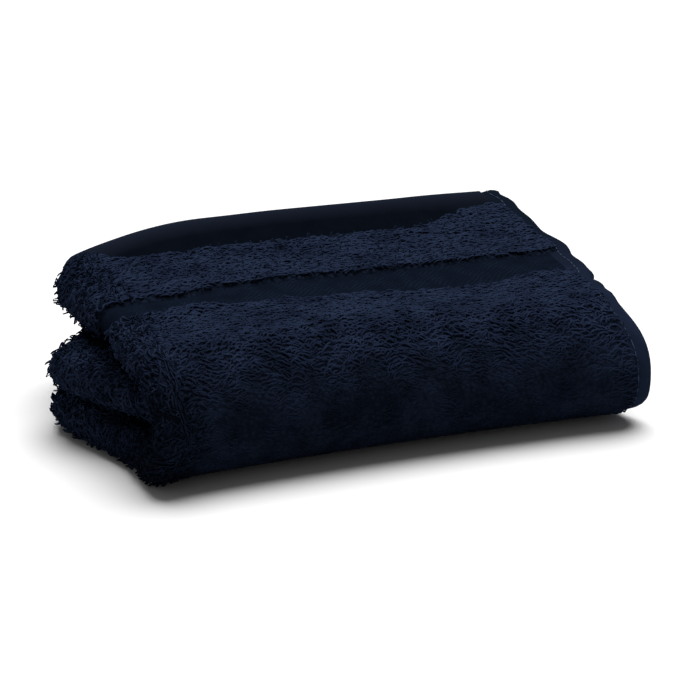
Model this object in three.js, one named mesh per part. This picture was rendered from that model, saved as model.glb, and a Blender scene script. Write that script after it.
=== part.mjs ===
// A terry washcloth, folded once across and then in three, lying on its folded side.
// Millimetres, +Z up. X runs along the long side of the folded cloth, the closed front fold is at -Y,
// and the origin lies under the middle of the cloth, on the surface that it rests on.

import * as THREE from 'three';
import { mergeVertices } from 'three/addons/utils/BufferGeometryUtils.js';

// The flat cloth and its weave
const clothSide = 300;
const pileThickness = 5.9;
const pileStep = 1.6;
const sideHem = { width: 7, thickness: 2.6, sink: 0.6 };

// What follows from either end of the cloth. A hem sinks towards the middle of its strip.
const endBands = [
  { name: 'turned hem', end: 18, thickness: 3.2, sink: 1.3 },
  { name: 'band of pile', end: 46, thickness: pileThickness, sink: 0 },
  { name: 'flat woven border', end: 63, thickness: 2.4, sink: 0 },
  { name: 'pile', end: clothSide / 2, thickness: pileThickness, sink: 0 },
];

// The folded cloth
const foldedWidth = 150;
const foldedDepth = 107;
const layerGap = 0.6;
const stripGap = 1;
const hemSetBack = 1;

// A strip is the cloth doubled over on its left fold. It is the strip that is folded in three.
const legOffset = (pileThickness + layerGap) / 2;
const halfStrip = legOffset + pileThickness / 2;
const stripPitch = 2 * halfStrip + stripGap;
const stackHeight = 2 * stripPitch + 2 * halfStrip;

// Where the left fold lies along the width of the cloth
const leftFoldLength = Math.PI * legOffset;
const legLength = (clothSide - leftFoldLength) / 2;
const leftFoldX = foldedWidth / 2 - legLength;

// Where the front and back turns lie along the length of the cloth
const frontTurnY = -foldedDepth / 2 + stripPitch + halfStrip;
const backTurnY = foldedDepth / 2 - stripPitch / 2 - halfStrip;
const topHemY = foldedDepth / 2 - hemSetBack;
const topRun = topHemY - frontTurnY;
const frontTurn = Math.PI * stripPitch;
const bottomRun = backTurnY - frontTurnY;
const backTurn = Math.PI * stripPitch / 2;
const frontTurnStart = topRun;
const bottomRunStart = frontTurnStart + frontTurn;
const backTurnStart = bottomRunStart + bottomRun;
const middleRunStart = backTurnStart + backTurn;

// How the soft stack has settled
const settling = {
  riseToBack: 0.109,      // the back stands higher than the middle, by this share
  fallToRight: 0.043,     // and the right end lower
  backSwell: 0.1,         // the back fold swells the stack, by this share
  backSwellLength: 40,
  frontLean: 10,          // how far the top of the front fold leans back
  frontLeanStart: -5,
  frontLeanLength: 45,
  fullestHeight: 0.25,    // the front fold is fullest at this share of the height
  frontBow: 3,            // the front fold is hollow along its middle
  skew: 0.048,            // the ends are not quite square to the front
  cornerDroop: 11,        // the back left corner of the top hangs down
  cornerLength: 50,
  topWave: 1,             // a low hollow and a rise in the front half of the top
  topWaveLength: 96,
  topWaveFrom: 15,
  topWaveRunIn: 30,
};

// How far the left fold and the two free right edges stand out, at lengths along the cloth
const endShifts = [
  { along: 0, left: -4, rightOver: 0.5, rightUnder: -0.5 },
  { along: 16, left: -0.5, rightOver: 0.5, rightUnder: 2.5 },
  { along: 87, left: 0, rightOver: -1.5, rightUnder: -2 },
  { along: 106, left: 0.5, rightOver: -0.5, rightUnder: -2 },
  { along: 119, left: 3, rightOver: -4.5, rightUnder: -5 },
  { along: 131, left: 2, rightOver: -7, rightUnder: -6 },
  { along: 172, left: 12, rightOver: -2, rightUnder: -3 },
  { along: 203, left: -12, rightOver: -3, rightUnder: -4 },
  { along: 224, left: -12, rightOver: -4, rightUnder: -4 },
  { along: 251, left: 13, rightOver: -3, rightUnder: -2 },
  { along: 300, left: -4, rightOver: -3, rightUnder: -5 },
];
const endShiftStart = 20;
const endShiftLength = 50;

function smoothStep(value) {
  return THREE.MathUtils.smoothstep(value, 0, 1);
}

// Evenly spaced values from one to another, without the last
function spaced(from, to, count) {
  return Array.from({ length: count }, (_, i) => from + (to - from) * i / count);
}

// Where the folded strip's middle runs at a length along the cloth, and which way its outer face looks
function stripAt(along) {
  if (along < frontTurnStart) {
    return { y: topHemY - along, z: halfStrip + 2 * stripPitch, outY: 0, outZ: 1 };
  }
  if (along < bottomRunStart) {
    const turn = (along - frontTurnStart) / stripPitch;
    const outY = -Math.sin(turn);
    const outZ = Math.cos(turn);
    return { y: frontTurnY + stripPitch * outY, z: halfStrip + stripPitch * (1 + outZ), outY, outZ };
  }
  if (along < backTurnStart) {
    return { y: frontTurnY + along - bottomRunStart, z: halfStrip, outY: 0, outZ: -1 };
  }
  if (along < middleRunStart) {
    const turn = (along - backTurnStart) / (stripPitch / 2);
    const outY = Math.sin(turn);
    const outZ = -Math.cos(turn);
    return {
      y: backTurnY + stripPitch / 2 * outY, z: halfStrip + stripPitch / 2 * (1 + outZ), outY, outZ,
    };
  }
  return { y: backTurnY - (along - middleRunStart), z: halfStrip + stripPitch, outY: 0, outZ: 1 };
}

// Where the cloth's middle runs across the strip, from the right edge round the left fold and back
function legAt(across) {
  if (across < legLength) {
    return { x: foldedWidth / 2 - across, out: legOffset, faceX: 0, faceOut: 1 };
  }
  if (across < legLength + leftFoldLength) {
    const turn = (across - legLength) / legOffset;
    const faceX = -Math.sin(turn);
    const faceOut = Math.cos(turn);
    return { x: leftFoldX + legOffset * faceX, out: legOffset * faceOut, faceX, faceOut };
  }
  return { x: leftFoldX + across - legLength - leftFoldLength, out: -legOffset, faceX: 0, faceOut: -1 };
}

// The cloth is thin at its hems and borders and thick where it has pile
function weaveAt(across, along) {
  if (Math.min(across, clothSide - across) <= sideHem.width) {
    return sideHem;
  }
  const fromEnd = Math.min(along, clothSide - along);
  return endBands.find((band) => fromEnd <= band.end);
}

// How far an end of the stack stands out at a length along the cloth
function endShift(along, side) {
  const next = Math.max(1, endShifts.findIndex((row) => row.along >= along));
  const from = endShifts[next - 1];
  const to = endShifts[next];
  const share = smoothStep((along - from.along) / (to.along - from.along));
  return from[side] + (to[side] - from[side]) * share;
}

// A point of the flat cloth, folded. The height is measured from the middle of its thickness.
function folded(across, along, height) {
  const leg = legAt(across);
  const strip = stripAt(along);
  const out = leg.out + height * leg.faceOut;
  const x = leg.x + height * leg.faceX;
  const y = strip.y + out * strip.outY;
  const z = strip.z + out * strip.outZ;
  const leftShare = smoothStep((-x - endShiftStart) / endShiftLength);
  const rightShare = smoothStep((x - endShiftStart) / endShiftLength);
  const rightSide = leg.out > 0 ? 'rightOver' : 'rightUnder';
  const shift = rightShare * endShift(along, rightSide) - leftShare * endShift(along, 'left');
  return new THREE.Vector3(x + shift, y, z);
}

// The squared-up stack as it has settled
function settle(point) {
  const { x, y, z } = point;
  const shareX = x / (foldedWidth / 2);
  const shareY = y / (foldedDepth / 2);
  const shareZ = z / stackHeight;

  const swellShare = smoothStep((y - foldedDepth / 2) / settling.backSwellLength + 1);
  const rise = settling.riseToBack * shareY + settling.backSwell * swellShare;
  const waveShare = smoothStep((settling.topWaveFrom - y) / settling.topWaveRunIn) * shareZ * shareZ;
  const wave = settling.topWave * waveShare * Math.sin(2 * Math.PI * x / settling.topWaveLength);
  const cornerX = Math.max(0, (-x - foldedWidth / 2) / settling.cornerLength + 1);
  const cornerY = smoothStep((shareY + 0.2) / 1.2);
  const droop = settling.cornerDroop * cornerX * cornerX * cornerY * smoothStep((shareZ - 0.2) / 0.8);
  const height = z * (1 + rise - settling.fallToRight * shareX) - wave - droop;

  const frontShare = smoothStep((settling.frontLeanStart - y) / settling.frontLeanLength);
  const fromFullest = shareZ - settling.fullestHeight;
  const lean = 1.5 * settling.frontLean * fromFullest * Math.abs(fromFullest);
  const bow = settling.frontBow * Math.max(0, 1 - shareX * shareX);
  const depth = y + frontShare * (lean + bow);

  const width = x - settling.skew * depth;
  return new THREE.Vector3(width, depth, height);
}

// Lines across the cloth, from its right edge to the left fold, and then the same ones back
const halfColumns = [
  0, sideHem.width, sideHem.width + pileStep,
  ...spaced(26, 98, 4),
  ...spaced(98, legLength, 5),
];
const columns = [
  ...halfColumns,
  ...spaced(legLength, legLength + leftFoldLength, 8),
  legLength + leftFoldLength,
  ...halfColumns.map((across) => clothSide - across).reverse(),
];

// Lines along the cloth, from the hem on top to the hem inside. Each step in thickness has two.
const [hem, pileBand, border] = endBands;
const bandRows = [
  0, 9, hem.end, hem.end + pileStep, 26, 35,
  pileBand.end - pileStep, pileBand.end + 0.1, 54, border.end, border.end + pileStep,
];
const rows = [
  ...bandRows, 75,
  ...spaced(frontTurnStart, bottomRunStart, 12),
  ...spaced(bottomRunStart, backTurnStart, 10),
  ...spaced(backTurnStart, middleRunStart, 9),
  middleRunStart, 229,
  ...bandRows.map((along) => clothSide - along).reverse(),
];

// The flat cloth is a thin box with a grid on its faces, and each grid point is carried into the fold
function washclothGeometry() {
  const flat = new THREE.BoxGeometry(
    clothSide, clothSide, 1, columns.length - 1, rows.length - 1, 1,
  );
  flat.deleteAttribute('normal');
  flat.deleteAttribute('uv');
  const cloth = mergeVertices(flat);
  const points = cloth.attributes.position;
  const corner = new THREE.Vector3();
  for (let i = 0; i < points.count; i += 1) {
    corner.fromBufferAttribute(points, i);
    const column = Math.round((corner.x / clothSide + 0.5) * (columns.length - 1));
    const row = Math.round((corner.y / clothSide + 0.5) * (rows.length - 1));
    const across = columns[column];
    const along = rows[row];
    const weave = weaveAt(across, along);
    const height = Math.sign(corner.z) * weave.thickness / 2 - weave.sink;
    const point = settle(folded(across, along, height));
    points.setXYZ(i, point.x, point.y, point.z);
  }
  cloth.computeBoundingBox();
  const { min, max } = cloth.boundingBox;
  cloth.translate(-(min.x + max.x) / 2, -(min.y + max.y) / 2, -min.z);
  cloth.computeVertexNormals();
  return cloth;
}

const navyTerry = new THREE.MeshStandardMaterial({ color: 0x10182f, roughness: 0.95, metalness: 0 });
const washcloth = new THREE.Mesh(washclothGeometry(), navyTerry);
washcloth.name = 'washcloth';

const foldedWashcloth = new THREE.Group();
foldedWashcloth.add(washcloth);

export default foldedWashcloth;
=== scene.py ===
import math

import bpy
import numpy as np
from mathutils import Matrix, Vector


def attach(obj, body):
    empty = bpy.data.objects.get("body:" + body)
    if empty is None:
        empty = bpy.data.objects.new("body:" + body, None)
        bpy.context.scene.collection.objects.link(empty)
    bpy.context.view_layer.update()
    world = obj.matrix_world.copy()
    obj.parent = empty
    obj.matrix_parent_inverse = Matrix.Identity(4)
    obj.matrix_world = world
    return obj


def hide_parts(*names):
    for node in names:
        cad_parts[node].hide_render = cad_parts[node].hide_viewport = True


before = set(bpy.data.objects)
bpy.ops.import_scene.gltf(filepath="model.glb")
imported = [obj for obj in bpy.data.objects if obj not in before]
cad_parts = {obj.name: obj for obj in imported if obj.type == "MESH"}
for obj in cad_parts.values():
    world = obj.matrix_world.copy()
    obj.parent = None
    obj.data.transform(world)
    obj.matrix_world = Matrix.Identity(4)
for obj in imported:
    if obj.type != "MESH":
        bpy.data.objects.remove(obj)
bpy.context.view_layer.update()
chance = np.random.default_rng(11)

# Lengths on the cloth are in mm, as in the part's source, and become metres when the cloth is folded.
# across runs from one side hem to the other, along from the end on top to the end inside, and
# height from the middle of the cloth's thickness towards the outside of the fold.
mm = 0.001

cloth = {
    "side": 300,
    "pile": 5.9,            # thickness with the loops of both faces
    "sideHem": 7,           # width of the hem down each side
    "sideHemThickness": 2.6,
    "sideHemSink": 0.6,     # how far the hem lies towards the inside of its strip
    "endHem": 21.5,         # from each end: hem, band of pile, woven border, then pile
    "endHemThickness": 3.2,
    "endHemSink": 0.9,
    "pileBandEnd": 46,
    "borderEnd": 63,
    "borderThickness": 2.4,
}

# The cloth doubled over on its left fold makes a strip, and the strip is folded in three
stack = {
    "width": 150,
    "depth": 107,
    "layerGap": 0.6,        # between the two layers of a strip
    "stripGap": 1,          # between one strip and the next
    "hemSetBack": 1,        # the hem on top lies this far in front of the back
}

# How the soft stack has settled
settling = {
    "riseToBack": 0.109,    # the back stands higher than the middle, by this share
    "fallToRight": 0.043,   # and the right end lower
    "backSwell": 0.1,       # the back fold swells the stack, by this share
    "backSwellLength": 40,
    "frontLean": 10,        # how far the top of the front fold leans back
    "frontLeanStart": -5,
    "frontLeanLength": 45,
    "leanCurve": 1.5,       # how quickly it leans further, higher up
    "fullestHeight": 0.25,  # the front fold is fullest at this share of the height
    "frontBow": 3,          # the front fold is hollow along its middle
    "skew": 0.048,          # the ends are not quite square to the front
    "cornerDroop": 11,      # the back left corner of the top hangs down
    "cornerLength": 50,
    "droopFromDepth": -0.2,  # it hangs from these shares of the half depth and of the height
    "droopFromHeight": 0.2,
    "topWave": 1,           # a low hollow and a rise in the front half of the top
    "topWaveLength": 96,
    "topWaveFrom": 15,
    "topWaveRunIn": 30,
}

# along, then how far the left fold, the over layer's right edge and the under layer's stand out.
# They were drawn closer to the photo than those of the solid, from which they depart by up to 5 mm.
endShifts = np.array([
    (0, -4, 0.5, -0.5),
    (16, -0.5, 1, 2.5),
    (27, -0.4, 2.2, 2),
    (39, -0.3, 4, 2),
    (55, -0.2, 0.9, 0.5),
    (72, 0, -2, -2),
    (87, 0, -2.2, -2.5),
    (106, 0.5, -1, -2.5),
    (119, 3, -1.5, -3.5),
    (131, 2, -5, -5.5),
    (172, 11, -2, -3),
    (203, -12, -3, -4),
    (224, -12, -4, -4),
    (258, 12.5, -3, -2),
    (300, -4, -3, -5),
], dtype=float)
leftShift, overShift, underShift = 1, 2, 3      # the columns of endShifts
endShiftStart = 20
endShiftLength = 50

# Where the turns lie on the cloth
legOffset = (cloth["pile"] + stack["layerGap"]) / 2
halfStrip = legOffset + cloth["pile"] / 2
stripPitch = 2 * halfStrip + stack["stripGap"]
stackHeight = 2 * stripPitch + 2 * halfStrip
leftFoldLength = math.pi * legOffset
legLength = (cloth["side"] - leftFoldLength) / 2
frontTurnY = -stack["depth"] / 2 + stripPitch + halfStrip
backTurnY = stack["depth"] / 2 - stripPitch / 2 - halfStrip
topHemY = stack["depth"] / 2 - stack["hemSetBack"]
frontTurnStart = topHemY - frontTurnY
bottomRunStart = frontTurnStart + math.pi * stripPitch
backTurnStart = bottomRunStart + backTurnY - frontTurnY
middleRunStart = backTurnStart + math.pi * stripPitch / 2


def smoothStep(value):
    value = np.clip(value, 0, 1)
    return value * value * (3 - 2 * value)


# 1 inside a stretch of the cloth, falling to 0 over a soft edge
def between(value, low, high, soft):
    return smoothStep((value - low) / soft + 0.5) * smoothStep((high - value) / soft + 0.5)


def endShift(along, column):
    row = np.clip(np.searchsorted(endShifts[:, 0], along) - 1, 0, len(endShifts) - 2)
    before, after = endShifts[row], endShifts[row + 1]
    share = smoothStep((along - before[..., 0]) / (after[..., 0] - before[..., 0]))
    return before[..., column] + (after[..., column] - before[..., column]) * share


# The strip's middle as it is folded in three: y, z, and the way its outer face looks
def stripAt(along):
    frontAngle = np.clip((along - frontTurnStart) / stripPitch, 0, math.pi)
    backAngle = np.clip((along - backTurnStart) / (stripPitch / 2), 0, math.pi)
    onTop = along < frontTurnStart
    inFront = (along >= frontTurnStart) & (along < bottomRunStart)
    below = (along >= bottomRunStart) & (along < backTurnStart)
    behind = (along >= backTurnStart) & (along < middleRunStart)
    places = [onTop, inFront, below, behind]
    outY = np.select(places, [0, -np.sin(frontAngle), 0, np.sin(backAngle)], 0)
    outZ = np.select(places, [1, np.cos(frontAngle), -1, -np.cos(backAngle)], 1)
    y = np.select(places, [
        topHemY - along,
        frontTurnY + stripPitch * outY,
        frontTurnY + along - bottomRunStart,
        backTurnY + stripPitch / 2 * outY,
    ], backTurnY - (along - middleRunStart))
    z = np.select(places, [
        halfStrip + 2 * stripPitch,
        halfStrip + stripPitch * (1 + outZ),
        halfStrip,
        halfStrip + stripPitch / 2 * (1 + outZ),
    ], halfStrip + stripPitch)
    return y, z, outY, outZ


# The cloth's middle across the strip, from the right edge round the left fold and back
def legAt(across):
    angle = np.clip((across - legLength) / legOffset, 0, math.pi)
    faceX = -np.sin(angle)
    faceOut = np.cos(angle)
    over = np.minimum(across, legLength)
    under = np.maximum(across - legLength - leftFoldLength, 0)
    x = stack["width"] / 2 - over + under + legOffset * faceX
    return x, legOffset * faceOut, faceX, faceOut


# The squared-up stack as it has settled
def settle(x, y, z):
    shareX = x / (stack["width"] / 2)
    shareY = y / (stack["depth"] / 2)
    shareZ = z / stackHeight
    swell = smoothStep((y - stack["depth"] / 2) / settling["backSwellLength"] + 1)
    rise = settling["riseToBack"] * shareY + settling["backSwell"] * swell
    waveShare = smoothStep((settling["topWaveFrom"] - y) / settling["topWaveRunIn"]) * shareZ ** 2
    wave = settling["topWave"] * waveShare * np.sin(2 * math.pi * x / settling["topWaveLength"])
    cornerX = np.maximum(0, (-x - stack["width"] / 2) / settling["cornerLength"] + 1)
    cornerY = smoothStep((shareY - settling["droopFromDepth"]) / (1 - settling["droopFromDepth"]))
    cornerZ = smoothStep((shareZ - settling["droopFromHeight"]) / (1 - settling["droopFromHeight"]))
    droop = settling["cornerDroop"] * cornerX ** 2 * cornerY * cornerZ
    settledZ = z * (1 + rise - settling["fallToRight"] * shareX) - wave - droop

    frontShare = smoothStep((settling["frontLeanStart"] - y) / settling["frontLeanLength"])
    fromFullest = shareZ - settling["fullestHeight"]
    lean = settling["leanCurve"] * settling["frontLean"] * fromFullest * np.abs(fromFullest)
    bow = settling["frontBow"] * np.maximum(0, 1 - shareX ** 2)
    settledY = y + frontShare * (lean + bow)
    settledX = x - settling["skew"] * settledY
    return np.stack([settledX, settledY, settledZ], -1)


# Points of the flat cloth, in mm, as they lie in the folded and settled stack
def foldCloth(across, along, height):
    across, along, height = np.broadcast_arrays(
        np.asarray(across, float), np.asarray(along, float), np.asarray(height, float))
    legX, legOut, faceX, faceOut = legAt(across)
    stripY, stripZ, outY, outZ = stripAt(along)
    out = legOut + height * faceOut
    x = legX + height * faceX
    leftShare = smoothStep((-x - endShiftStart) / endShiftLength)
    rightShare = smoothStep((x - endShiftStart) / endShiftLength)
    rightShift = np.where(legOut > 0, endShift(along, overShift), endShift(along, underShift))
    x = x + rightShare * rightShift - leftShare * endShift(along, leftShift)
    return settle(x, stripY + out * outY, stripZ + out * outZ)


# The part's source centres the solid on its box, whose middle lies here among the folded places
clothCentre = np.array([-6.378, 0.368, 0])


def foldToMetres(across, along, height):
    return (foldCloth(across, along, height) - clothCentre) * mm


def deselectAll():
    if bpy.context.mode != "OBJECT":
        bpy.ops.object.mode_set(mode="OBJECT")
    bpy.ops.object.select_all(action="DESELECT")


# Materials

# An sRGB hex colour as Blender's linear RGBA
def linearColour(hexCode):
    parts = [int(hexCode[i:i + 2], 16) / 255 for i in (1, 3, 5)]
    linear = [c / 12.92 if c <= 0.04045 else ((c + 0.055) / 1.055) ** 2.4 for c in parts]
    return (*linear, 1)


# One node with its settings, and the sockets that feed it
def addNode(tree, kind, settings=None, links=None):
    node = tree.nodes.new(kind)
    for name, value in (settings or {}).items():
        if isinstance(name, int) or name in node.inputs:
            node.inputs[name].default_value = value
        else:
            setattr(node, name, value)
    for name, source in (links or {}).items():
        tree.links.new(source, node.inputs[name])
    return node


# A material with its Principled shader set up, ready for what feeds its colour and bump
def newMaterial(name, surface):
    material = bpy.data.materials.new(name)
    material.use_nodes = True
    tree = material.node_tree
    tree.nodes.clear()
    shader = addNode(tree, "ShaderNodeBsdfPrincipled", surface)
    addNode(tree, "ShaderNodeOutputMaterial", links={"Surface": shader.outputs["BSDF"]})
    return material, tree, shader


terry = {
    "deep": "#0b101a",
    "mid": "#161d2e",
    "bright": "#1e273a",
    "sheen": "#8da0c8",
    "toneAndShadeShare": 0.6,        # how much a loop's own tone and painted shade count beside the patches
    "patchSize": 9,         # mm, the size of patches where the pile lies another way
    "fibreSize": 0.25,      # mm, coarser than cotton fibre so that it shows
}


def combedCottonTerry():
    # Soft two-ply cotton loops: matte, with a faint bloom of loose fibre along each yarn
    material, tree, shader = newMaterial("combed cotton terry pile", {
        "Roughness": 0.92,
        "Specular IOR Level": 0,
        "Sheen Weight": 0.02,
        "Sheen Roughness": 0.45,
        "Sheen Tint": linearColour(terry["sheen"]),
    })
    place = addNode(tree, "ShaderNodeTexCoord")
    # Each loop's own tone, with painted shade and painted light mixed into it
    toneAndPaintedShade = addNode(tree, "ShaderNodeAttribute", {"attribute_name": "toneAndPaintedShade"})
    patches = addNode(tree, "ShaderNodeTexNoise", {
        "Scale": 1 / (terry["patchSize"] * mm), "Detail": 2, "Roughness": 0.5,
    }, {"Vector": place.outputs["Object"]})
    share = addNode(tree, "ShaderNodeMath", {"operation": "MULTIPLY_ADD", 1: terry["toneAndShadeShare"]}, {
        0: toneAndPaintedShade.outputs["Fac"], 2: patches.outputs["Fac"]})
    ramp = addNode(tree, "ShaderNodeValToRGB", links={"Fac": share.outputs["Value"]})
    ramp.color_ramp.elements[0].position = 0.35
    ramp.color_ramp.elements[0].color = linearColour(terry["deep"])
    ramp.color_ramp.elements[1].position = 1
    ramp.color_ramp.elements[1].color = linearColour(terry["bright"])
    middle = ramp.color_ramp.elements.new(0.7)
    middle.color = linearColour(terry["mid"])
    tree.links.new(ramp.outputs["Color"], shader.inputs["Base Color"])
    fibres = addNode(tree, "ShaderNodeTexNoise", {
        "Scale": 1 / (terry["fibreSize"] * mm), "Detail": 2,
    }, {"Vector": place.outputs["Object"]})
    bump = addNode(tree, "ShaderNodeBump", {"Strength": 0.4, "Distance": 0.1 * mm}, {
        "Height": fibres.outputs["Fac"]})
    tree.links.new(bump.outputs["Normal"], shader.inputs["Normal"])
    return material


ground = {
    "deep": "#0b1019",
    "bright": "#151c2b",
    "tuftPitch": 1.4,       # mm between rows of loops
    "tuftShade": -0.6,      # painted shade: how much darker it is down between the tufts, beside the patches
}


def terryGroundWeave():
    # The base of the pile, seen between the loops and where no loops are modelled
    material, tree, shader = newMaterial("cotton terry ground", {
        "Roughness": 0.95,
        "Specular IOR Level": 0,
        "Sheen Weight": 0.01,
        "Sheen Roughness": 0.5,
        "Sheen Tint": linearColour(terry["sheen"]),
    })
    place = addNode(tree, "ShaderNodeTexCoord")
    tufts = addNode(tree, "ShaderNodeTexVoronoi", {
        "Scale": 1 / (ground["tuftPitch"] * mm), "Randomness": 0.9,
    }, {"Vector": place.outputs["Object"]})
    patches = addNode(tree, "ShaderNodeTexNoise", {
        "Scale": 1 / (terry["patchSize"] * mm), "Detail": 4, "Roughness": 0.65,
    }, {"Vector": place.outputs["Object"]})
    # Painted shade down between the tufts
    share = addNode(tree, "ShaderNodeMath", {"operation": "MULTIPLY_ADD", 1: ground["tuftShade"]}, {
        0: tufts.outputs["Distance"], 2: patches.outputs["Fac"]})
    ramp = addNode(tree, "ShaderNodeValToRGB", links={"Fac": share.outputs["Value"]})
    ramp.color_ramp.elements[0].position = 0
    ramp.color_ramp.elements[0].color = linearColour(ground["deep"])
    ramp.color_ramp.elements[1].position = 0.6
    ramp.color_ramp.elements[1].color = linearColour(ground["bright"])
    tree.links.new(ramp.outputs["Color"], shader.inputs["Base Color"])
    height = addNode(tree, "ShaderNodeMath", {"operation": "MULTIPLY_ADD", 1: -1.0}, {
        0: tufts.outputs["Distance"], 2: patches.outputs["Fac"]})
    bump = addNode(tree, "ShaderNodeBump", {"Strength": 1, "Distance": 0.8 * mm}, {
        "Height": height.outputs["Value"]})
    tree.links.new(bump.outputs["Normal"], shader.inputs["Normal"])
    return material


border = {
    "deep": "#080c15",
    "bright": "#0f1622",
    "ribPitch": 1.25,       # mm between the ribs of the twill, coarser than real so that they show
    "ribSlant": 50,         # degrees from the cloth's width
    "pickPitch": 0.45,      # mm between weft threads
    "wearSize": 6,          # mm, the size of patches where the ribs show less
    "ribShare": 0.7,        # how much the ribs count beside the weft threads
    "ribWander": 4.5,       # how far the ribs stray from straight lines
}


def twillBorder():
    # A flat border in a mercerised twill: fine slanted ribs that catch the light
    material, tree, shader = newMaterial("cotton twill border", {
        "Roughness": 0.85,
        "Specular IOR Level": 0,
    })
    place = addNode(tree, "ShaderNodeUVMap", {"uv_map": "flatCloth"})
    inRibs = cloth["side"] / border["ribPitch"]
    turned = addNode(tree, "ShaderNodeMapping", {
        "Rotation": (0, 0, math.radians(border["ribSlant"])),
        "Scale": (inRibs, inRibs, 1),
    }, {"Vector": place.outputs["UV"]})
    oneBandEachStep = math.pi / 10
    ribs = addNode(tree, "ShaderNodeTexWave", {
        "wave_type": "BANDS", "bands_direction": "X", "Scale": oneBandEachStep,
        "Distortion": border["ribWander"], "Detail": 2, "Detail Scale": 1.2,
    }, {"Vector": turned.outputs["Vector"]})
    solid = addNode(tree, "ShaderNodeTexCoord")
    wear = addNode(tree, "ShaderNodeTexNoise", {
        "Scale": 1 / (border["wearSize"] * mm), "Detail": 3,
    }, {"Vector": solid.outputs["Object"]})
    shown = addNode(tree, "ShaderNodeMapRange", {"From Min": 0.35, "From Max": 0.65}, {
        "Value": wear.outputs["Fac"]})
    wornRibs = addNode(tree, "ShaderNodeMath", {"operation": "MULTIPLY"}, {
        0: ribs.outputs["Fac"], 1: shown.outputs["Result"]})
    inPicks = cloth["side"] / border["pickPitch"]
    flatPlace = addNode(tree, "ShaderNodeMapping", {"Scale": (inPicks, inPicks, 1)}, {
        "Vector": place.outputs["UV"]})
    threads = addNode(tree, "ShaderNodeTexNoise", {"Scale": 1, "Detail": 2}, {
        "Vector": flatPlace.outputs["Vector"]})
    share = addNode(tree, "ShaderNodeMath", {"operation": "MULTIPLY_ADD", 1: border["ribShare"]}, {
        0: wornRibs.outputs["Value"], 2: threads.outputs["Fac"]})
    ramp = addNode(tree, "ShaderNodeValToRGB", links={"Fac": share.outputs["Value"]})
    ramp.color_ramp.elements[0].position = 0.3
    ramp.color_ramp.elements[0].color = linearColour(border["deep"])
    ramp.color_ramp.elements[1].position = 1
    ramp.color_ramp.elements[1].color = linearColour(border["bright"])
    tree.links.new(ramp.outputs["Color"], shader.inputs["Base Color"])
    bump = addNode(tree, "ShaderNodeBump", {"Strength": 0.6, "Distance": 0.2 * mm}, {
        "Height": share.outputs["Value"]})
    tree.links.new(bump.outputs["Normal"], shader.inputs["Normal"])
    return material


# Each hem has painted shading towards the end of the cloth on top, which fades between two distances
# from that end: a painted highlight along the end hem's rounded edge, painted shade on the side hems.
hem = {
    "name": "plain woven cotton hem",
    "deep": "#05080e",
    "bright": "#0a0e16",
    "threadPitch": 0.6,     # mm between threads, coarser than real so that it shows
    "threadShare": 0.3,     # how much the threads count beside the wear
    "wearSize": 7,          # mm, the size of patches of wear
    "paintedShadingAtEnd": "#191e2a",     # painted highlight: paler along the hem's rounded edge
    "endFade": (0, 12),     # mm from the end
}
sideEdge = {
    **hem,
    "name": "plain woven cotton selvedge",
    "deep": "#121926",
    "bright": "#1c2436",
    "paintedShadingAtEnd": "#0f1520",     # painted shade: darker on top of the stack, as in the photo
    "endFade": (25, 95),
}


def plainWoven(values):
    # Tightly woven cotton turned under twice: smoother than the pile, with a fine even grain
    material, tree, shader = newMaterial(values["name"], {
        "Roughness": 0.85,
        "Specular IOR Level": 0,
    })
    place = addNode(tree, "ShaderNodeUVMap", {"uv_map": "flatCloth"})
    inThreads = cloth["side"] / values["threadPitch"]
    scaled = addNode(tree, "ShaderNodeMapping", {"Scale": (inThreads, inThreads, 1)}, {
        "Vector": place.outputs["UV"]})
    checks = addNode(tree, "ShaderNodeTexBrick", {
        "Scale": 1, "Mortar Size": 0.12, "Mortar Smooth": 1, "Brick Width": 1, "Row Height": 0.5,
        "Color1": (1, 1, 1, 1), "Color2": (0.7, 0.7, 0.7, 1), "Mortar": (0, 0, 0, 1),
    }, {"Vector": scaled.outputs["Vector"]})
    solid = addNode(tree, "ShaderNodeTexCoord")
    wear = addNode(tree, "ShaderNodeTexNoise", {
        "Scale": 1 / (values["wearSize"] * mm), "Detail": 5, "Roughness": 0.6,
    }, {"Vector": solid.outputs["Object"]})
    share = addNode(tree, "ShaderNodeMath", {"operation": "MULTIPLY_ADD", 1: values["threadShare"]}, {
        0: checks.outputs["Color"], 2: wear.outputs["Fac"]})
    ramp = addNode(tree, "ShaderNodeValToRGB", links={"Fac": share.outputs["Value"]})
    ramp.color_ramp.elements[0].position = 0.3
    ramp.color_ramp.elements[0].color = linearColour(values["deep"])
    ramp.color_ramp.elements[1].position = 0.95
    ramp.color_ramp.elements[1].color = linearColour(values["bright"])
    # Painted shading near the end on top: a painted highlight on the end hem's edge, painted shade on the
    # side hems
    fadeStart, fadeEnd = values["endFade"]
    flatPlace = addNode(tree, "ShaderNodeSeparateXYZ", links={"Vector": place.outputs["UV"]})
    fade = addNode(tree, "ShaderNodeMapRange", {
        "From Min": fadeStart / cloth["side"], "From Max": fadeEnd / cloth["side"],
        "To Min": 1, "To Max": 0,
    }, {"Value": flatPlace.outputs["Y"]})
    withPaintedShading = addNode(tree, "ShaderNodeMixRGB", {"Color2": linearColour(values["paintedShadingAtEnd"])}, {
        "Fac": fade.outputs["Result"], "Color1": ramp.outputs["Color"]})
    tree.links.new(withPaintedShading.outputs["Color"], shader.inputs["Base Color"])
    bump = addNode(tree, "ShaderNodeBump", {"Strength": 0.5, "Distance": 0.12 * mm}, {
        "Height": share.outputs["Value"]})
    tree.links.new(bump.outputs["Normal"], shader.inputs["Normal"])
    return material


pileMaterial = combedCottonTerry()
groundMaterial = terryGroundWeave()
borderMaterial = twillBorder()
hemMaterial = plainWoven(hem)
sideEdgeMaterial = plainWoven(sideEdge)
print("materials made")

# The woven cloth, without its loops

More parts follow.
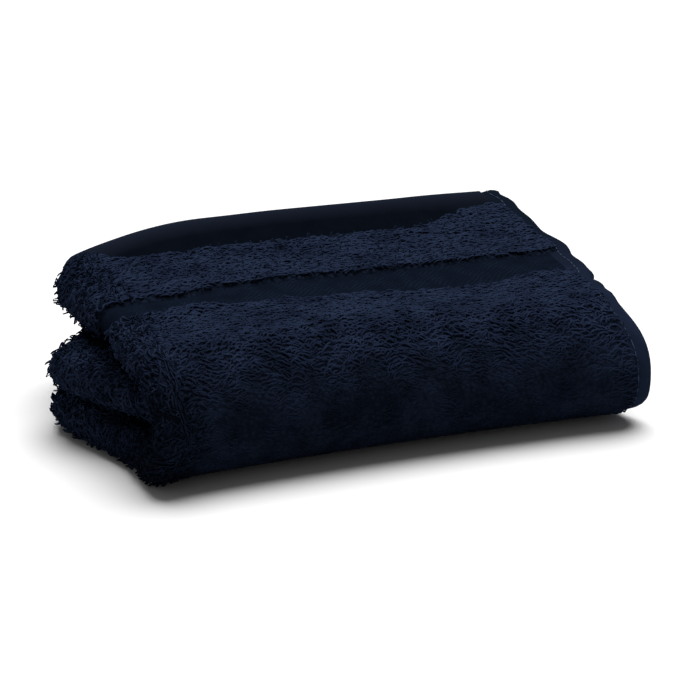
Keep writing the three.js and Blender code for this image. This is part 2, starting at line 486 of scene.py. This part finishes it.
# Lengths in mm
weave = {
    "bareHalf": 2.85,       # half the thickness of pile that has no loops modelled on it
    "loopedHalf": 2.25,     # and of pile that has them
    "lump": 0.18,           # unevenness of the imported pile
    "step": 0.9,            # over how far one weave's thickness runs into the next
    "hemLap": 0.4,          # how far the hems reach past their lines
    "hemRounding": 1.5,     # how far in the hem's edge is rounded off
    "rimShare": 0.35,       # and how thick it is at its very edge, as a share
    "sideCrown": 0.9,       # how far the side hem is puffed up
    "endPuff": 1.9,         # and the end hem, which dips again at its seam beside the pile
    "seamDip": 0.7,
    "puffLean": 0.6,        # below 1 the puff is fullest nearer the edge than the seam
    "puffElsewhere": 0.65,  # the share of puff and dip away from the middle of the over layer
    "puffLostAtFold": 0.8,  # and the share of it that is lost on the left fold
    "fullPuffAt": (18, 90, 30),     # across: from, to and softness
    "foldAt": (118, 182, 40),
}

# How the edges of hem, border and pile depart from straight lines, in mm
edges = {
    "sideWave": 0.85,       # the side hem's edge wanders this far
    "sideReach": 14,        # what lies within this distance goes with it,
    "sideRunIn": 12,        # less and less over this length
    "frontSetOff": 0.9,     # the pile in front of the border lies this far beyond its line,
    "frontWave": 1.2,       # wanders this far
    "frontClosing": 5.4,    # and closes over the border at the left fold
    "frontReach": 9,        # what lies within this distance goes with it
    "bandWave": 0.5,        # the same for the band of pile behind the border
    "bandClosing": 2.8,
    "bandReach": 7,
    "closingAt": (116, 184, 22),    # across: from, to and softness
    "hemLessAtFold": 4,     # how much narrower the end hem is at the left fold
    "hemFoldAt": (123, 177, 22),
    "hemUnderSpill": 11,    # and where pile spills over it there, from and to, each with its run-in
    "spillFrom": (130, 12),
    "spillTo": (178, 16),
    "hemLessAtCorner": 10,  # and beside the side hem, over this distance from its edge
    "cornerReach": 42,
    "cornerRunIn": 32,
    "pileEndWave": 2.5,     # how far the end of the modelled loops wanders on the under layer
}

# For each uneven wave its length and a longer one that makes it uneven, both in mm over 2 pi
waves = {
    "sideHem": (2.9, 11),
    "sideHemSwell": 6.9,
    "borderEdge": (5.7, 17),
    "pileEnd": (3.1, 7),
    "lumpsAcross": (1.9, 5.3),
    "lumpsAlong": (2.3, 6.1),
}

# Where loops are modelled: the sides of the stack that can be seen. Each stretch across or along has
# its start, its end and how soft its edges are, in mm.
looped = {
    "sideways": (6.3, 165, 2.4),
    "leftEnd": (128, 168, 6),
    "topBandFromHem": 1,
    "topBandEnd": 45.6,
    "topBandSoft": 1,
    "topAndFront": (63.6, 136, 1.4),
    "back": (196, 236, 1.4),
    "lower": (130, 299, 1.4),
}


def unevenWave(place, other, lengths):
    return np.sin(place / lengths[0] + 2 * np.sin(other / lengths[1]))


def fromSideEdge(across):
    return np.minimum(across, cloth["side"] - across)


# Moves a place near the side hem in or out as the hem wanders
def wander(across, along):
    reach = smoothStep((edges["sideReach"] - fromSideEdge(across)) / edges["sideRunIn"])
    swell = np.sin(along / waves["sideHemSwell"] + 1)
    wave = unevenWave(along, along, waves["sideHem"]) * swell
    inwards = np.where(across < cloth["side"] / 2, 1, -1)
    return across + edges["sideWave"] * reach * wave * inwards


# Moves a place near an edge of the woven border to and fro, as the edges of the pile wander.
# At the left fold the pile closes over the border from both sides.
def wanderAlong(across, along):
    wave = unevenWave(across, across, waves["borderEdge"])
    closing = between(across, *edges["closingAt"])
    frontReach = smoothStep(1 - np.abs(along - cloth["borderEnd"]) / edges["frontReach"])
    bandReach = smoothStep(1 - np.abs(along - cloth["pileBandEnd"]) / edges["bandReach"])
    front = edges["frontSetOff"] + edges["frontWave"] * wave - edges["frontClosing"] * closing
    band = edges["bandClosing"] * closing - edges["bandWave"] * wave
    return along + frontReach * front + bandReach * band


# The hem's width, less at its ends, and least where pile spills over it at the left fold
def hemWidth(across):
    atFold = between(across, *edges["hemFoldAt"])
    spillStart, spillRunIn = edges["spillFrom"]
    spillEnd, spillRunOut = edges["spillTo"]
    spill = smoothStep((across - spillStart) / spillRunIn) * smoothStep((spillEnd - across) / spillRunOut)
    atCorner = smoothStep((edges["cornerReach"] - fromSideEdge(across)) / edges["cornerRunIn"])
    return (cloth["endHem"] - edges["hemLessAtFold"] * atFold - edges["hemUnderSpill"] * spill
            - edges["hemLessAtCorner"] * atCorner)


# 1 where loops are modelled, and 0 where they aren't
def loopShare(across, along):
    start, end, soft = looped["sideways"]
    end = end + edges["pileEndWave"] * unevenWave(along, along, waves["pileEnd"])
    sideways = between(across, start, end, soft)
    leftEnd = between(across, *looped["leftEnd"])
    topBandStart = hemWidth(across) + looped["topBandFromHem"]
    topBand = between(along, topBandStart, looped["topBandEnd"], looped["topBandSoft"])
    topAndFront = between(along, *looped["topAndFront"])
    back = between(along, *looped["back"])
    lower = between(along, *looped["lower"])
    return sideways * np.maximum.reduce([topBand, topAndFront, back, leftEnd * lower])


# How far each hem is puffed up between its edge and its seam
def hemCrown(across, fromSide, fromEnd, isEndHem, isSideHem):
    fromEdge = np.clip(fromEnd / hemWidth(across), 0, 1)
    puff = weave["endPuff"] * np.sin(math.pi * fromEdge ** weave["puffLean"])
    puff = puff - weave["seamDip"] * fromEdge ** 2
    elsewhere = weave["puffElsewhere"]
    puff = puff * (elsewhere + (1 - elsewhere) * between(across, *weave["fullPuffAt"]))
    puff = puff * (1 - weave["puffLostAtFold"] * between(across, *weave["foldAt"]))
    side = weave["sideCrown"] * np.sin(math.pi * np.clip(fromSide / cloth["sideHem"], 0, 1))
    return isEndHem * (1 - isSideHem) * puff + isSideHem * side


# How far the cloth's outer and inner faces lie from its middle
def surfaceHeights(across, along):
    fromSide = fromSideEdge(across)
    fromEnd = np.minimum(along, cloth["side"] - along)
    isBorder = between(fromEnd, cloth["pileBandEnd"], cloth["borderEnd"], weave["step"])
    isEndHem = smoothStep((hemWidth(across) + weave["hemLap"] - fromEnd) / weave["step"])
    isSideHem = smoothStep((cloth["sideHem"] + weave["hemLap"] - fromSide) / weave["step"])

    pile = weave["bareHalf"] + (weave["loopedHalf"] - weave["bareHalf"]) * loopShare(across, along)
    lump = weave["lump"] * (
        unevenWave(across, along, waves["lumpsAcross"]) * unevenWave(along, across, waves["lumpsAlong"]))
    half = (pile + lump) * (1 - isBorder) + cloth["borderThickness"] / 2 * isBorder
    half = half + (cloth["endHemThickness"] / 2 - half) * isEndHem
    half = half + (cloth["sideHemThickness"] / 2 - half) * isSideHem

    edge = np.clip(np.minimum(fromSide, fromEnd) / weave["hemRounding"], 0, 1)
    rounding = weave["rimShare"] + (1 - weave["rimShare"]) * np.sqrt(1 - (1 - edge) ** 2)
    half = (half + hemCrown(across, fromSide, fromEnd, isEndHem, isSideHem)) * rounding
    sink = cloth["endHemSink"] * isEndHem * (1 - isSideHem) + cloth["sideHemSink"] * isSideHem
    inner = weave["bareHalf"] * (1 - isBorder) * (1 - isEndHem) * (1 - isSideHem)
    inner = np.maximum(inner, half)
    return half - sink, -inner - sink


# Lines at each mark and evenly between the marks, at most a step apart
def clothLines(marks, step):
    lines = []
    for low, high in zip(marks, marks[1:]):
        count = max(1, math.ceil((high - low) / step - 1e-6))
        lines += [low + (high - low) * i / count for i in range(count)]
    return np.array(lines + [marks[-1]])


# The grid's lines, in mm: closer together round the left fold and the turns
flatStep = 2.1
foldStep = 1.2
turnStep = 1.75
sideMarks = [0, 0.5, 1.1, 2, 3.5, 5.2, 6.9, 7.8, 9, 140]
acrossLines = np.concatenate([
    clothLines(sideMarks, flatStep),
    clothLines([141, 159], foldStep),
    cloth["side"] - clothLines(sideMarks, flatStep)[::-1],
])
endMarks = [0, 0.5, 1.1, 2, 5, 9, 13, 17, 21.4, 22.4, 23.5, 45, 46.4, 62.6, 64]
alongLines = np.concatenate([
    clothLines(endMarks, flatStep),
    clothLines([66, 234], turnStep),
    cloth["side"] - clothLines(endMarks, flatStep)[::-1],
])


# Gives each face its material, by where its middle lies on the flat cloth
def dressGround(mesh, place):
    for material in (groundMaterial, borderMaterial, hemMaterial, sideEdgeMaterial):
        mesh.materials.append(material)
    starts = np.array([face.loop_start for face in mesh.polygons])
    centres = (place[starts] + place[starts + 2]) / 2
    fromEdge = np.minimum(centres, 1 - centres) * cloth["side"]
    isEndHem = fromEdge[:, 1] < hemWidth(centres[:, 0] * cloth["side"]) + weave["hemLap"]
    isSideHem = fromEdge[:, 0] < cloth["sideHem"] + weave["hemLap"]
    isBorder = (fromEdge[:, 1] > cloth["pileBandEnd"]) & (fromEdge[:, 1] < cloth["borderEnd"])
    slots = np.select([isSideHem, isEndHem, isBorder], [3, 2, 1], 0)
    mesh.polygons.foreach_set("material_index", slots.astype(int))


# A flat box with a grid on its faces, carried point by point into the fold
def makeGround():
    deselectAll()
    bpy.ops.mesh.primitive_grid_add(
        x_subdivisions=len(acrossLines) - 1, y_subdivisions=len(alongLines) - 1, size=2)
    sheet = bpy.context.object
    sheet.name = "wovenCloth"
    bpy.ops.object.mode_set(mode="EDIT")
    bpy.ops.mesh.select_all(action="SELECT")
    bpy.ops.mesh.extrude_region_move(TRANSFORM_OT_translate={"value": (0, 0, 1)})
    bpy.ops.object.mode_set(mode="OBJECT")

    mesh = sheet.data
    flat = np.zeros(len(mesh.vertices) * 3)
    mesh.vertices.foreach_get("co", flat)
    flat = flat.reshape(-1, 3)
    across = acrossLines[np.rint((flat[:, 0] + 1) / 2 * (len(acrossLines) - 1)).astype(int)]
    along = alongLines[np.rint((flat[:, 1] + 1) / 2 * (len(alongLines) - 1)).astype(int)]
    outer, inner = surfaceHeights(across, along)
    height = np.where(flat[:, 2] > 0.5, outer, inner)
    points = foldToMetres(wander(across, along), wanderAlong(across, along), height)
    points[:, 2] = np.maximum(points[:, 2], 0)
    mesh.vertices.foreach_set("co", points.ravel())

    corners = np.zeros(len(mesh.loops), dtype=int)
    mesh.loops.foreach_get("vertex_index", corners)
    uv = mesh.uv_layers[0] if mesh.uv_layers else mesh.uv_layers.new()
    uv.name = "flatCloth"
    place = np.stack([across, along], -1)[corners] / cloth["side"]
    uv.data.foreach_set("uv", place.ravel())
    dressGround(mesh, place)

    deselectAll()
    sheet.select_set(True)
    bpy.context.view_layer.objects.active = sheet
    bpy.ops.object.mode_set(mode="EDIT")
    bpy.ops.mesh.select_all(action="SELECT")
    bpy.ops.mesh.normals_make_consistent(inside=False)
    bpy.ops.object.mode_set(mode="OBJECT")
    bpy.ops.object.shade_smooth()
    return sheet


wovenCloth = makeGround()
print("woven cloth made:", len(wovenCloth.data.polygons), "faces")

# The pile: one loop of yarn, copied over every place where the pile can be seen

loop = {
    "sides": 3,
    "bends": 5,
    "jitter": 0.45,         # how far a loop strays from its place, as a share of the spacing
    "thinning": (0.3, 0.7),     # between these values of loopShare the loops thin out
    "feet": 0.3,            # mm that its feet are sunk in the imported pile
    "wobble": 0.06,         # mm, unevenness of the yarn
    "leanShares": (0.7, 0.3),   # of the loops that lean to one side and to the other
    "leanVaries": (0.3, 1.2),   # how much less or more a loop leans than its pile
    "twist": 0.6,           # how far a curled loop turns out of its plane, as a share of its curl
    "pressedCurl": 0.5,     # the share of curl that is lost where the pile is pressed
    "clearance": 0.1,       # mm above the floor
    "paintedShadeAtFeet": 0.4,        # painted shade: how much of a loop's shade comes from its height, darkest at its feet down in the pile, lightest at the top
    "paintedShadeDepth": 0.35,      # how much darker painted shade makes a loop
}

# Lengths in mm. A loop's heading is in degrees from the cloth's width.
brushedFlat = {
    "yarn": 0.58,
    "spacing": 1,           # between loops in a row, and between rows
    "span": (1.9, 4),       # between a loop's feet
    "height": (0.35, 1.2),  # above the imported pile
    "lean": 0.9,            # sideways, as a share of the height
    "curl": 0.5,
    "heading": 0,
    "spread": 22,
}
smoothBand = {**brushedFlat, "height": (0.3, 0.85), "spread": 19}
pressedBack = {**brushedFlat, "spacing": 1.15, "yarn": 0.64, "height": (0.3, 0.7), "spread": 12}
nubbyEnd = {
    **brushedFlat, "spacing": 1.1, "span": (1.6, 3), "height": (0.4, 1),
    "heading": 45, "spread": 80,
}
shaggyEnd = {
    **brushedFlat, "yarn": 0.46, "spacing": 1.12, "span": (2, 4), "height": (0.4, 1.1),
    "heading": 88, "spread": 38,
}
looseYarn = {
    **brushedFlat, "yarn": 0.36, "spacing": 1.75, "span": (0.2, 0.6), "height": (0.9, 2.7),
    "lean": 0.7, "curl": 0.3, "heading": 70, "spread": 60,
}
strayFibre = {
    **brushedFlat, "yarn": 0.3, "spacing": 2.1, "span": (0.3, 0.8), "height": (0.7, 1.5),
    "lean": 1.6, "curl": 0.4, "spread": 60,
}


# A round section 1 mm thick, spun half round with its feet down: each corner's angle, the way that it
# lies outwards and sideways from the middle of the yarn, and the faces
def modelLoop():
    spinRadius = 2
    deselectAll()
    bpy.ops.mesh.primitive_circle_add(vertices=loop["sides"], radius=0.5, location=(spinRadius, 0, 0))
    bpy.ops.object.transform_apply(location=True, rotation=True, scale=True)
    bpy.ops.object.mode_set(mode="EDIT")
    bpy.ops.mesh.select_all(action="SELECT")
    bpy.ops.mesh.spin(steps=loop["bends"], angle=-math.pi, center=(0, 0, 0), axis=(0, 1, 0))
    bpy.ops.mesh.select_all(action="SELECT")
    bpy.ops.mesh.normals_make_consistent(inside=False)
    bpy.ops.object.mode_set(mode="OBJECT")
    model = bpy.context.object
    points = np.array([v.co for v in model.data.vertices])
    if points[:, 2].mean() < 0:
        points[:, 2] *= -1
    faces = np.array([list(p.vertices) for p in model.data.polygons])
    bpy.data.objects.remove(model)
    angle = np.arctan2(points[:, 2], points[:, 0])
    offset = np.hypot(points[:, 0], points[:, 2]) - spinRadius
    return angle, offset, points[:, 1], faces


loopAngle, loopOffset, loopSide, loopFaces = modelLoop()


# Patches of the pile, each with its strength, then its start, end and softness along and across, in mm.
# The pile lies pressed on the upright front, below the roll.
pressedPatch = (0.8, (98, 190, 18), (6, 140, 14))

# Painted shade on the loops' colour on the front, most where the roll turns down, at the left end of the
# front, and a little on the layer inside.
# The layer below that lies open and gets painted light instead, with a strength below 0.
paintedShadePatches = {
    "front": (0.85, (89, 190, 24), (12, 140, 26)),
    "roll": (0.5, (100, 119, 9), (50, 140, 45)),
    "corner": (1.4, (95, 150, 16), (131, 172, 14)),
    "inside": (0.4, (238, 300, 8), (128, 172, 10)),
    "below": (-0.5, (134, 205, 10), (140, 176, 6)),
}


def patchShare(across, along, patch):
    strength, alongCloth, acrossCloth = patch
    return strength * between(along, *alongCloth) * between(across, *acrossCloth)


# Painted shade for each loop from the patches; where it is below 0 it is painted light
def paintedShadeShare(across, along):
    share = {name: patchShare(across, along, patch) for name, patch in paintedShadePatches.items()}
    return np.maximum(share["front"] + share["roll"], share["corner"]) + share["inside"] + share["below"]


# Neighbouring loops lie together in tufts that share their shade, heading and height
tuft = {
    "across": 3.4,          # mm
    "along": 1.8,
    "heightShare": 0.6,     # how much of a loop's height and shade is its tuft's
    "shadeShare": 0.7,
    "drift": 0.6,           # how far headings drift slowly over the cloth, as a share of the spread
    "ownTurn": 0.35,        # and how far each loop turns by itself
}
tuftCount = [math.ceil(cloth["side"] / tuft[way]) + 2 for way in ("across", "along")]
tuftValues = chance.uniform(0, 1, (3, *tuftCount))


def tuftAt(across, along):
    column = np.floor(across / tuft["across"] + chance.uniform(0, 1, across.shape)).astype(int)
    row = np.floor(along / tuft["along"] + chance.uniform(0, 1, along.shape)).astype(int)
    return tuftValues[:, column, row]


# Where a pile's loops stand: every other row is set off by half a space, and each loop strays a little
def loopPlaces(acrossRange, alongRange, pitch):
    across, along = np.meshgrid(np.arange(*acrossRange, pitch), np.arange(*alongRange, pitch))
    across = across + np.arange(len(across))[:, None] % 2 * pitch / 2
    jitter = loop["jitter"]
    across = across.ravel() + chance.uniform(-jitter, jitter, across.size) * pitch
    along = along.ravel() + chance.uniform(-jitter, jitter, along.size) * pitch
    kept = chance.uniform(*loop["thinning"], across.shape) < loopShare(across, along)
    return across[kept], along[kept]


# Copies the loop over a stretch of the cloth, each copy a little different
def growPile(name, acrossRange, alongRange, lie):
    across, along = loopPlaces(acrossRange, alongRange, lie["spacing"])
    count = len(across)
    drift = np.sin(across / 7 + 1.5 * np.sin(along / 9)) * np.cos(along / 6 + across / 17)
    tuftShade, tuftTurn, tuftHeight = tuftAt(across, along)
    ownTurn = chance.normal(0, tuft["ownTurn"], count)
    turn = math.radians(lie["heading"]) + math.radians(lie["spread"]) * (
        tuft["drift"] * drift + 2 * tuftTurn - 1 + ownTurn)
    span = chance.uniform(*lie["span"], count) / 2
    pressed = patchShare(across, along, pressedPatch)
    ownHeight = (1 - tuft["heightShare"]) * chance.uniform(0, 1, count)
    lowest, highest = lie["height"]
    height = lowest + (highest - lowest) * (tuft["heightShare"] * tuftHeight + ownHeight)
    height = height * (1 - pressed)
    leanSide = chance.choice([-1, 1], count, p=loop["leanShares"])
    lean = lie["lean"] * leanSide * chance.uniform(*loop["leanVaries"], count)
    curl = lie["curl"] * chance.normal(0, 1, count) * (1 - loop["pressedCurl"] * pressed)
    wobble = chance.normal(0, loop["wobble"], (count, len(loopAngle)))

    rise = np.sin(loopAngle)[None, :]
    reach = np.cos(loopAngle)[None, :]
    offset = loopOffset * lie["yarn"]
    forward = (span[:, None] + offset) * reach + curl[:, None] * rise * rise + wobble
    sideways = loopSide * lie["yarn"] + (lean * height)[:, None] * rise
    sideways = sideways + curl[:, None] * np.sin(2 * loopAngle) * loop["twist"]
    up = (height[:, None] + offset) * rise
    cosTurn, sinTurn = np.cos(turn)[:, None], np.sin(turn)[:, None]
    pointAcross = across[:, None] + cosTurn * forward - sinTurn * sideways
    pointAlong = along[:, None] + sinTurn * forward + cosTurn * sideways
    pointAlong = np.clip(wanderAlong(pointAcross, pointAlong), 0, cloth["side"])
    pointHeight = weave["loopedHalf"] - loop["feet"] + up
    points = foldToMetres(pointAcross, pointAlong, pointHeight).reshape(-1, 3)
    points[:, 2] = np.maximum(points[:, 2], loop["clearance"] * mm)

    faces = (np.arange(count)[:, None, None] * len(loopAngle) + loopFaces[None]).reshape(-1, 4)
    mesh = bpy.data.meshes.new(name)
    mesh.from_pydata(points.tolist(), [], faces.tolist())
    # Painted shade darkens the loops' colour where the patches lie, and painted light lightens the layer
    # low down
    paintedShade = paintedShadeShare(across, along)
    ownShade = (1 - tuft["shadeShare"]) * chance.uniform(0, 1, count)
    shade = (tuft["shadeShare"] * tuftShade + ownShade) * (1 - paintedShade) - loop["paintedShadeDepth"] * paintedShade
    # Painted shade at each loop's feet, lighter towards its top
    shade = shade[:, None] * (1 - loop["paintedShadeAtFeet"]) + loop["paintedShadeAtFeet"] * rise ** 2
    toneAndPaintedShade = mesh.attributes.new("toneAndPaintedShade", "FLOAT", "POINT")
    toneAndPaintedShade.data.foreach_set("value", shade.ravel())
    mesh.shade_smooth()
    mesh.materials.append(pileMaterial)
    pile = bpy.data.objects.new(name, mesh)
    bpy.context.scene.collection.objects.link(pile)
    print(name, "has", count, "loops and", 2 * len(faces), "triangles")
    return pile


# Each pile with the stretch that it covers, across and along
overLayer = (6, 142)
pilePieces = [
    growPile("pileTopBand", overLayer, (10, 46), smoothBand),
    growPile("pileTop", overLayer, (63.5, 92), brushedFlat),
    growPile("pileFront", overLayer, (92, 137), brushedFlat),
    growPile("pileLeftTop", (142, 166), (6, 63.5), nubbyEnd),
    growPile("pileLeftFront", (142, 166), (63.5, 136), shaggyEnd),
    growPile("pileLeftLower", (130, 164), (136, 300), nubbyEnd),
    growPile("pileBack", overLayer, (195, 237), pressedBack),
    growPile("looseYarnLeft", (138, 162), (6, 300), looseYarn),
    growPile("strayFibreTop", overLayer, (19, 104), strayFibre),
]


# Stitches along the side hems

# Lengths in mm
stitch = {
    "fromEdge": 4.9,        # from the side hem's edge
    "length": 2.4,
    "pitch": 2.6,
    "thread": 0.34,
    "fromEnd": 2,           # where the seam starts and stops
    "setOut": 0.05,         # how far the thread's middle stands out of the hem
    "twistSize": 0.5,       # the size of light and dark along the thread, coarser than its twist
    "deep": "#26304a",
    "bright": "#3d4963",
}


def sewingThread():
    # Corespun thread, a little smoother and lighter than the cotton it is sewn into
    material, tree, shader = newMaterial("navy corespun sewing thread", {
        "Roughness": 0.6,
        "Specular IOR Level": 0.1,
    })
    place = addNode(tree, "ShaderNodeTexCoord")
    twist = addNode(tree, "ShaderNodeTexNoise", {"Scale": 1 / (stitch["twistSize"] * mm), "Detail": 2}, {
        "Vector": place.outputs["Object"]})
    ramp = addNode(tree, "ShaderNodeValToRGB", links={"Fac": twist.outputs["Fac"]})
    ramp.color_ramp.elements[0].color = linearColour(stitch["deep"])
    ramp.color_ramp.elements[1].color = linearColour(stitch["bright"])
    tree.links.new(ramp.outputs["Color"], shader.inputs["Base Color"])
    return material


threadMaterial = sewingThread()


# Each stitch is a long bead of thread
def sewHem():
    deselectAll()
    bpy.ops.mesh.primitive_uv_sphere_add(segments=6, ring_count=4, radius=1)
    model = bpy.context.object
    points = np.array([v.co for v in model.data.vertices])
    faces = [list(p.vertices) for p in model.data.polygons]
    bpy.data.objects.remove(model)
    thread = stitch["thread"] / 2
    allPoints, allFaces = [], []
    for across in (stitch["fromEdge"], cloth["side"] - stitch["fromEdge"]):
        for along in np.arange(stitch["fromEnd"], cloth["side"] - stitch["fromEnd"], stitch["pitch"]):
            outer, _ = surfaceHeights(np.array(across), np.array(along))
            alongStitch = along + points[:, 2] * stitch["length"] / 2
            acrossStitch = wander(across + points[:, 0] * thread, alongStitch)
            height = float(outer) + stitch["setOut"] + points[:, 1] * thread
            start = len(allPoints)
            allPoints += foldToMetres(acrossStitch, alongStitch, height).tolist()
            allFaces += [[start + i for i in face] for face in faces]
    mesh = bpy.data.meshes.new("hemStitches")
    mesh.from_pydata(allPoints, [], allFaces)
    mesh.shade_smooth()
    mesh.materials.append(threadMaterial)
    stitches = bpy.data.objects.new("hemStitches", mesh)
    bpy.context.scene.collection.objects.link(stitches)
    return stitches


hemStitches = sewHem()
print("stitches sewn")

# What rides on the part, and the part's own solid hidden

for piece in [wovenCloth, hemStitches, *pilePieces]:
    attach(piece, "root")
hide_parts("washcloth")

# Floor, light and camera

# A pale board that the light takes to white, its size in metres
floor = {"size": 8, "colour": "#e0e0e0"}
light = {
    "sun": 4.9,
    "sunAngle": 58,             # degrees, wide so that shadows are soft
    "sunFrom": (0.42, 0.5, 1.6),
    "sky": 0.17,
}
# Fitted to the photo. The focal length and the picture's width are in its pixels, the rest in
# degrees, metres and, for the sensor, mm.
view = {
    "azimuth": -21.3,
    "elevation": 20.5,
    "distance": 0.8,
    "focalLength": 2692,
    "pictureWidth": 700,
    "sensor": 36,
    "target": (0.00737, -0.00049, 0.0166),
}

deselectAll()
bpy.ops.mesh.primitive_plane_add(size=floor["size"], location=(0, 0, 0))
board = bpy.context.object
board.name = "floor"
boardMaterial, _, _ = newMaterial("matte white studio board", {
    "Base Color": linearColour(floor["colour"]), "Roughness": 0.9, "Specular IOR Level": 0.1})
board.data.materials.append(boardMaterial)

bpy.ops.object.light_add(type="SUN")
sun = bpy.context.object
sun.data.energy = light["sun"]
sun.data.angle = math.radians(light["sunAngle"])
sun.rotation_euler = Vector(light["sunFrom"]).to_track_quat("Z", "Y").to_euler()

world = bpy.data.worlds.new("soft studio")
world.use_nodes = True
sky = world.node_tree.nodes["Background"]
sky.inputs["Color"].default_value = (1, 1, 1, 1)
sky.inputs["Strength"].default_value = light["sky"]
bpy.context.scene.world = world
bpy.context.scene.view_settings.view_transform = "Standard"

bpy.ops.object.camera_add()
camera = bpy.context.object
azimuth = math.radians(view["azimuth"])
elevation = math.radians(view["elevation"])
backwards = Vector((
    math.sin(azimuth) * math.cos(elevation),
    -math.cos(azimuth) * math.cos(elevation),
    math.sin(elevation),
))
camera.location = Vector(view["target"]) + backwards * view["distance"]
camera.rotation_euler = (-backwards).to_track_quat("-Z", "Y").to_euler()
camera.data.lens = view["focalLength"] * view["sensor"] / view["pictureWidth"]
camera.data.sensor_width = view["sensor"]
bpy.context.scene.camera = camera
print("floor, light and camera set")
